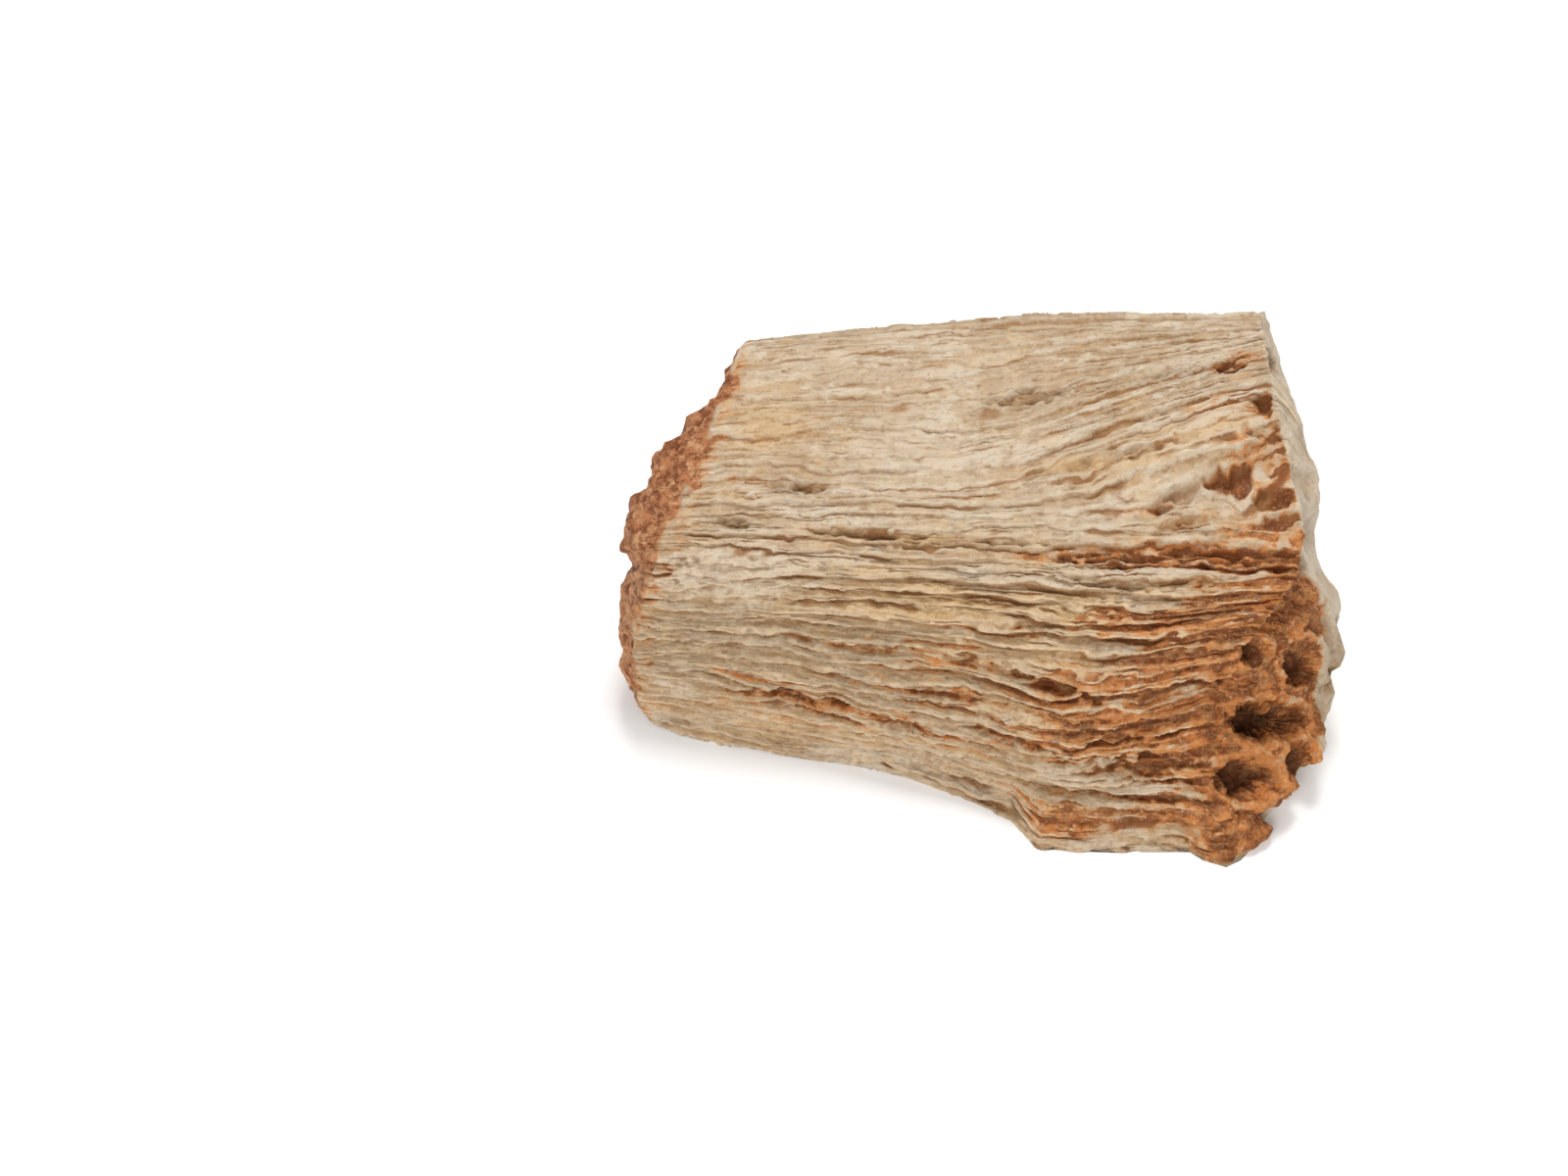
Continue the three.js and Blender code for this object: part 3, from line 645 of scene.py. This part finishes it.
for name, values in painted:
    attribute = mesh.attributes.new(name, "FLOAT", "POINT")
    attribute.data.foreach_set("value", values[row_at, ring_at].astype(np.float32))
attribute = mesh.attributes.new("fibre", "FLOAT_VECTOR", "POINT")
attribute.data.foreach_set("vector", fibre[row_at, ring_at].astype(np.float32).reshape(-1))
bpy.ops.object.mode_set(mode="EDIT")
bpy.ops.mesh.select_all(action="SELECT")
bpy.ops.mesh.remove_doubles(threshold=1e-7)
bpy.ops.mesh.normals_make_consistent(inside=False)
bpy.ops.object.mode_set(mode="OBJECT")
thin = coral_block.modifiers.new("thin", "DECIMATE")
thin.ratio = TRIANGLES / (2 * columns * (rows - 2))
bpy.ops.object.modifier_apply(modifier="thin")
bpy.ops.object.shade_smooth()
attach(coral_block, "root")
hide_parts("fossil_coral")


class Wire:
    """One socket of a material's nodes. Sums and products of wires add the nodes that work them out."""

    def __init__(self, tree, socket=None):
        self.tree = tree
        self.socket = socket

    def node(self, kind, inputs, output=0, **settings):
        """A new node: its settings first, then the values or links of its sockets."""
        made = self.tree.nodes.new(kind)
        for name, value in settings.items():
            setattr(made, name, value)
        for name, value in inputs.items():
            if isinstance(value, Wire):
                self.tree.links.new(value.socket, made.inputs[name])
            else:
                made.inputs[name].default_value = value
        return Wire(self.tree, made.outputs[output])

    def sum(self, operation, first, second=0.0):
        return self.node("ShaderNodeMath", {0: first, 1: second}, operation=operation)

    def __add__(self, other):
        return self.sum("ADD", self, other)

    def __sub__(self, other):
        return self.sum("SUBTRACT", self, other)

    def __rsub__(self, other):
        return self.sum("SUBTRACT", other, self)

    def __mul__(self, other):
        return self.sum("MULTIPLY", self, other)

    def __pow__(self, other):
        return self.sum("POWER", self, other)

    __radd__ = __add__
    __rmul__ = __mul__

    def between(self, low, high):
        """0 below low, 1 above high, and smooth from one to the other."""
        made = {"Value": self, "From Min": low, "From Max": high}
        return self.node("ShaderNodeMapRange", made, interpolation_type="SMOOTHSTEP")

    def mix(self, first, second):
        """A colour from first to second, by this wire as the share of the second."""
        made = self.tree.nodes.new("ShaderNodeMix")
        made.data_type = "RGBA"
        self.tree.links.new(self.socket, made.inputs[0])
        for socket, value in ((made.inputs[6], first), (made.inputs[7], second)):
            if isinstance(value, Wire):
                self.tree.links.new(value.socket, socket)
            else:
                socket.default_value = (*value, 1)
        return Wire(self.tree, made.outputs[2])


# Coral limestone: cream calcite, tan in the grooves, stained with rust at both ends.
CREAM = (0.455, 0.347, 0.236)
PALE = (0.57, 0.485, 0.375)
TAN = (0.36, 0.23, 0.118)
OCHRE = (0.301, 0.155, 0.0575)
RUST_BROWN = (0.19, 0.055, 0.014)
ORANGE = (0.45, 0.15, 0.035)
# Near black, for painted shade.
SHADE_DARK = (0.045, 0.015, 0.007)
GREY_TAN = (0.28, 0.195, 0.11)
HONEY = (0.56, 0.365, 0.175)
BUFF = (0.445, 0.29, 0.145)
WARM_ORANGE = (0.53, 0.25, 0.085)
LIP = (0.61, 0.455, 0.285)
CRUST = (0.40, 0.165, 0.07)
CRUST_PALE = (0.50, 0.275, 0.14)
CRUST_PIT = (0.17, 0.055, 0.02)

limestone = bpy.data.materials.new("coral_limestone")
limestone.use_nodes = True
tree = limestone.node_tree
shader = tree.nodes["Principled BSDF"]
start = Wire(tree)
fibre_way = start.node("ShaderNodeAttribute", {}, "Vector", attribute_name="fibre")
felt = {
    name: start.node("ShaderNodeAttribute", {}, "Fac", attribute_name=name) for name, values in painted
}
lift_w, recess_w, shade_w, split_w, front_w = (
    felt[name] for name in ("lift", "recess", "shade", "split", "front")
)
rust_w, grey_w, crusted_w, whitish_w, yellowed_w = (
    felt[name] for name in ("rust", "grey", "crusted", "whitish", "yellowed")
)
distance_w = start.node("ShaderNodeSeparateXYZ", {"Vector": fibre_way}, "X")
object_way = start.node("ShaderNodeTexCoord", {}, "Object")


def streaks(length, width, detail=4.0):
    """Noise drawn out along the corallites, with streaks of about this length and width in mm."""
    way = start.node("ShaderNodeMapping", {"Vector": fibre_way, "Scale": (1 / length, 1 / width, 1 / width)})
    inputs = {"Vector": way, "Scale": 1.0, "Detail": detail, "Roughness": 0.6, "Distortion": 0.25}
    return start.node("ShaderNodeTexNoise", inputs)


def grains(size, detail=3.0):
    """Noise that is the same in every direction, with grains of about this size in mm."""
    inputs = {"Vector": object_way, "Scale": 1000 / size, "Detail": detail, "Roughness": 0.6}
    return start.node("ShaderNodeTexNoise", inputs)


def marks(name, length, seed, raggedness, shift):
    """For the sheets with this count: how far down its own sheet each place is, and three values from
    0 to 1 of the sheet's own that wander along it."""
    counted = felt[name] + (tatter - 0.5) * raggedness + shift
    sheet = counted.sum("FLOOR", counted)
    way = start.node("ShaderNodeCombineXYZ", {"X": distance_w * (1 / length), "Y": sheet * 1.7, "Z": seed})
    inputs = {"Vector": way, "Scale": 1.0, "Detail": 3.0, "Roughness": 0.55}
    own = start.node("ShaderNodeTexNoise", inputs, "Color")
    own = [start.node("ShaderNodeSeparateColor", {"Color": own}, channel) for channel in range(3)]
    return counted - sheet, *own


def rounded(down):
    """A sheet's height across it, which falls away over its lower edge."""
    return down * (1 - down.between(0.75, 1.0))


# Noises, from wide streaks to fine grit, the marks of each kind of sheet, and crystals.
tatter = streaks(4.5, 1.6, 3.0)
broad = streaks(40, 5)
medium = streaks(14, 2.2)
cloud = streaks(13, 4.0)
crumb = grains(1.6, 5.0)
speck = grains(0.9)
lumpy = grains(2.4)
hollowed = (0 - lift_w).between(0.0, 0.5)
raised = lift_w.between(0.02, 0.4)
grit = grains(0.5)
flecks = grains(1.1, 2.0)
dashes = streaks(7, 1.4, 3.0)
down_1, tone_1, stain_1, open_1 = marks("ledge_count", 16, 0.5, 0.12, 0.04)
down_3, tone_3, stain_3, open_3 = marks("sheet_count", 8, 2.5, 0.6, 0.08)
down_7, tone_7, stain_7, open_7 = marks("septum_count", 5, 4.5, 1.1, 0.1)
veins = streaks(10, 0.5, 2.0)
crystals = {"Vector": object_way, "Scale": 1000 / 1.1}
crystal_gap = start.node("ShaderNodeTexVoronoi", crystals, "Distance")
crystal_colour = start.node("ShaderNodeTexVoronoi", crystals, "Color")
crystal = start.node("ShaderNodeSeparateColor", {"Color": crystal_colour}, 0)

# How light each place is, the pale lip along a sheet's lower edge, which is a painted highlight, and painted
# shade in the gap under its neighbour.
tone = (tone_1 - 0.5) * 0.4 + (tone_3 - 0.5) * 0.55 + (tone_7 - 0.5) * 0.5
tone = tone * split_w + (medium - 0.5) * 0.4 + (crumb - 0.5) * 0.3 + (grit - 0.5) * (0.1 + 0.15 * front_w)
lip_highlight = (down_3.between(0.75, 0.95) * open_3.between(0.36, 0.5) + down_7.between(0.6, 0.9) * 0.4) * split_w
under_shade = (1 - down_3.between(0.05, 0.28)) * open_3.between(0.42, 0.6)
under_shade = under_shade + (1 - down_7.between(0.0, 0.4)) * open_7.between(0.48, 0.6) * 0.8
under_shade = (under_shade + (1 - down_1.between(0.03, 0.1)) * open_1.between(0.35, 0.55)) * split_w
under_shade = under_shade.sum("MINIMUM", under_shade, 1.0) * (0.4 + 0.6 * front_w) * (1 - 0.6 * whitish_w)
earth = (0.1 + rust_w * 0.9 + (stain_1 - 0.5) * 0.8).mix(TAN, OCHRE)

# Clean stone: tan to cream, with pale streaks, ochre veins, and yellow, grey and whitish patches.
stone = tone.between(-0.1, 0.06).mix(TAN, CREAM)
stone = (broad.between(0.35, 0.6) * 0.4).mix(stone, CREAM)
stone = (front_w * (1 - whitish_w) * 0.45).mix(stone, BUFF)
stone = ((tone * 0.8 + (cloud - 0.5) * 1.0).between(0.0, 0.1) * (0.85 - 0.15 * front_w)).mix(stone, PALE)
stone = ((0 - tone).between(0.04, 0.12) * 0.5 * (0.3 + 0.7 * front_w)).mix(stone, earth)
stone = (veins.between(0.58, 0.63) * (0.25 + 0.3 * front_w)).mix(stone, OCHRE)
stone = (dashes.between(0.55, 0.62) * (0.5 - 0.2 * front_w)).mix(stone, TAN)
stone = (flecks.between(0.66, 0.7) * 0.5).mix(stone, RUST_BROWN)
stone = (stain_3.between(0.48, 0.6) * split_w * 0.5).mix(stone, HONEY)
stone = (yellowed_w * (0.35 + stain_7 + (crumb - 0.5))).mix(stone, HONEY)
stone = (grey_w * (0.25 + stain_1.between(0.3, 0.6) * 0.5)).mix(stone, GREY_TAN)
stone = (whitish_w * (0.2 + crumb)).mix(stone, PALE)
# Painted shade: earth colour where the stone sinks below the stone round about.
stone = (hollowed * (0.6 - 0.3 * whitish_w)).mix(stone, earth)
stone = (crystal.between(0.5, 1.0) * 0.3).mix(stone, LIP)
stone = ((0.4 - crystal).between(0.0, 0.4) * (0.1 + 0.2 * front_w)).mix(stone, earth)
stone = (raised * 0.35).mix(stone, PALE)

# Rust: ochre in the grooves, a warm tint round each stain, and brown to orange stains.
groove = recess_w.between(0.1, 1.2)
stone = (groove * (stain_7 * 1.4 + crumb - 0.7)).mix(stone, OCHRE)
patchy = rust_w * 0.95 + ((stain_3 - 0.5) * 1.6 + (stain_7 - 0.5) * 1.4) * split_w + (crumb - 0.5) * 1.1
patchy = patchy + (lumpy - 0.5) * (1.1 - split_w) * 1.6
patchy = patchy + (hollowed - raised) * 0.3 + groove * 0.25 + shade_w * 0.3 + (under_shade - lip_highlight) * 0.25
tinted = patchy.between(0.2, 0.7) * rust_w.between(0.02, 0.3)
stained = patchy.between(0.5, 0.85) * rust_w.between(0.02, 0.3)
redness = tone_7 * 0.3 + tone_3 * 0.3 + crumb * 0.4 + (raised - hollowed) * 0.1 + (crystal - 0.5) * 0.12
redness = redness - (1 - split_w) * 0.055
rusty = redness.between(0.42, 0.56).mix(RUST_BROWN, ORANGE)
rusty = (lumpy.between(0.5, 0.62) * 0.35).mix(rusty, WARM_ORANGE)
rusty = (raised * (0.2 + 0.3 * split_w)).mix(rusty, WARM_ORANGE)
rusty = (grit.between(0.5, 0.65) * 0.25).mix(rusty, HONEY)
stone = (tinted * 0.7).mix(stone, WARM_ORANGE)
stone = (stained * 0.96).mix(stone, rusty)

# Painted highlight along the lips and painted shade in the gaps under them, then painted shade in the deep
# places.
stone = (lip_highlight * (1 - 0.5 * stained) * 0.7).mix(stone, front_w.mix(PALE, LIP))
stone = (under_shade * 0.75).mix(stone, rust_w.mix(earth, RUST_BROWN))
stone = (grit.between(0.6, 0.7) * 0.4).mix(stone, LIP)
# Painted shade, warm brown, in the gaps, under the ledges and under the hollows' upper edges.
deep_shade = shade_w.between(0.03, 0.5)
stone = (deep_shade * 0.85).mix(stone, (0.25 + 0.75 * rust_w).mix(OCHRE, RUST_BROWN))
# Painted shade, near black, in the deep cups, the deepest hollows and the darkest gaps.
dark_shade = hollowed ** 1.5 * 0.22 + recess_w.between(1.0, 6.0) * 0.45 + shade_w.between(0.6, 1.0) * 0.5
stone = (dark_shade * (0.3 + 0.7 * rust_w)).mix(stone, SHADE_DARK)

# The crust: rust-coloured lumps with dark pits, and paler crumbs on the front.
rind = (lumpy * 0.5 + speck * 0.5).between(0.42, 0.58).mix(CRUST_PIT, CRUST)
rind = (crumb * 0.6 + grit * 0.4 + raised * 0.1).between(0.52, 0.64).mix(rind, CRUST_PALE)
rind = (front_w * crumb.between(0.4, 0.6) * 0.7).mix(rind, CRUST_PALE)
stone = crusted_w.mix(stone, rind)
stone = ((0.43 - speck).between(0, 0.1) * 0.25).mix(stone, RUST_BROWN)
tree.links.new(stone.socket, shader.inputs["Base Color"])
shader.inputs["Roughness"].default_value = 0.6
shader.inputs["Specular IOR Level"].default_value = 0.15
shader.inputs["Subsurface Weight"].default_value = 0.3
shader.inputs["Subsurface Radius"].default_value = (1.0, 0.95, 0.9)
shader.inputs["Subsurface Scale"].default_value = 0.0005

# Relief finer than the mesh: small ledges, crumbs, grit and the gaps between crystals.
ledges = rounded(down_1) * open_1.between(0.4, 0.6) * 0.3 + rounded(down_3) * open_3.between(0.4, 0.6) * 0.5
ledges = (ledges + rounded(down_7) * open_7.between(0.45, 0.6) * 0.4) * split_w
fine_height = ledges + medium * 0.3 + crumb * 0.7 + grit * 0.2 + speck * (1 - split_w) * 0.4
fine_height = fine_height - crystal_gap * (0.2 + 0.3 * front_w)
inputs = {"Height": fine_height, "Strength": 0.55, "Distance": 0.001}
bump = start.node("ShaderNodeBump", inputs, "Normal")
tree.links.new(bump.socket, shader.inputs["Normal"])
coral_block.data.materials.clear()
coral_block.data.materials.append(limestone)

# A plain pale floor, which reaches far enough to fill the picture.
bpy.ops.mesh.primitive_plane_add(size=6, location=(0, 0, 0))
floor_sheet = bpy.context.object
floor_sheet.name = "floor"
paper = bpy.data.materials.new("floor_paper")
paper.use_nodes = True
paper.node_tree.nodes["Principled BSDF"].inputs["Base Color"].default_value = (0.97, 0.97, 0.97, 1)
paper.node_tree.nodes["Principled BSDF"].inputs["Roughness"].default_value = 0.9
floor_sheet.data.materials.append(paper)

# Soft studio light: a broad one from above and behind, a weaker one from the front left.
bpy.context.scene.view_settings.view_transform = "Standard"
world = bpy.data.worlds.new("studio")
world.use_nodes = True
world.node_tree.nodes["Background"].inputs["Color"].default_value = (1, 1, 1, 1)
world.node_tree.nodes["Background"].inputs["Strength"].default_value = 0.56
bpy.context.scene.world = world


def softbox(name, location, target, width, power):
    """A square light this wide, turned to its target."""
    light = bpy.data.lights.new(name, "AREA")
    light.size = width
    light.energy = power
    lamp = bpy.data.objects.new(name, light)
    lamp.location = location
    lamp.rotation_euler = (Vector(target) - Vector(location)).to_track_quat("-Z", "Y").to_euler()
    bpy.context.scene.collection.objects.link(lamp)


softbox("key_light", (0.05, 0.3, 0.8), (0, 0, 0.02), 0.3, 4.6)
softbox("front_light", (-0.2, -0.85, 0.5), (0, 0, 0.02), 0.4, 5.4)

# The camera looks down at 45 degrees from 0.7 m away, as the photograph does.
CAMERA_FALL = math.radians(45)
CAMERA_DISTANCE = 0.7
AIM = Vector((-0.0282, -0.00174, 0.021))
camera = bpy.data.cameras.new("camera")
camera.lens = 112.5
camera.sensor_width = 36
camera_stand = bpy.data.objects.new("camera", camera)
camera_stand.location = AIM + CAMERA_DISTANCE * Vector((0, -math.cos(CAMERA_FALL), math.sin(CAMERA_FALL)))
camera_stand.rotation_euler = (math.pi / 2 - CAMERA_FALL, 0, 0)
camera.clip_start = 0.01
bpy.context.scene.collection.objects.link(camera_stand)
bpy.context.scene.camera = camera_stand
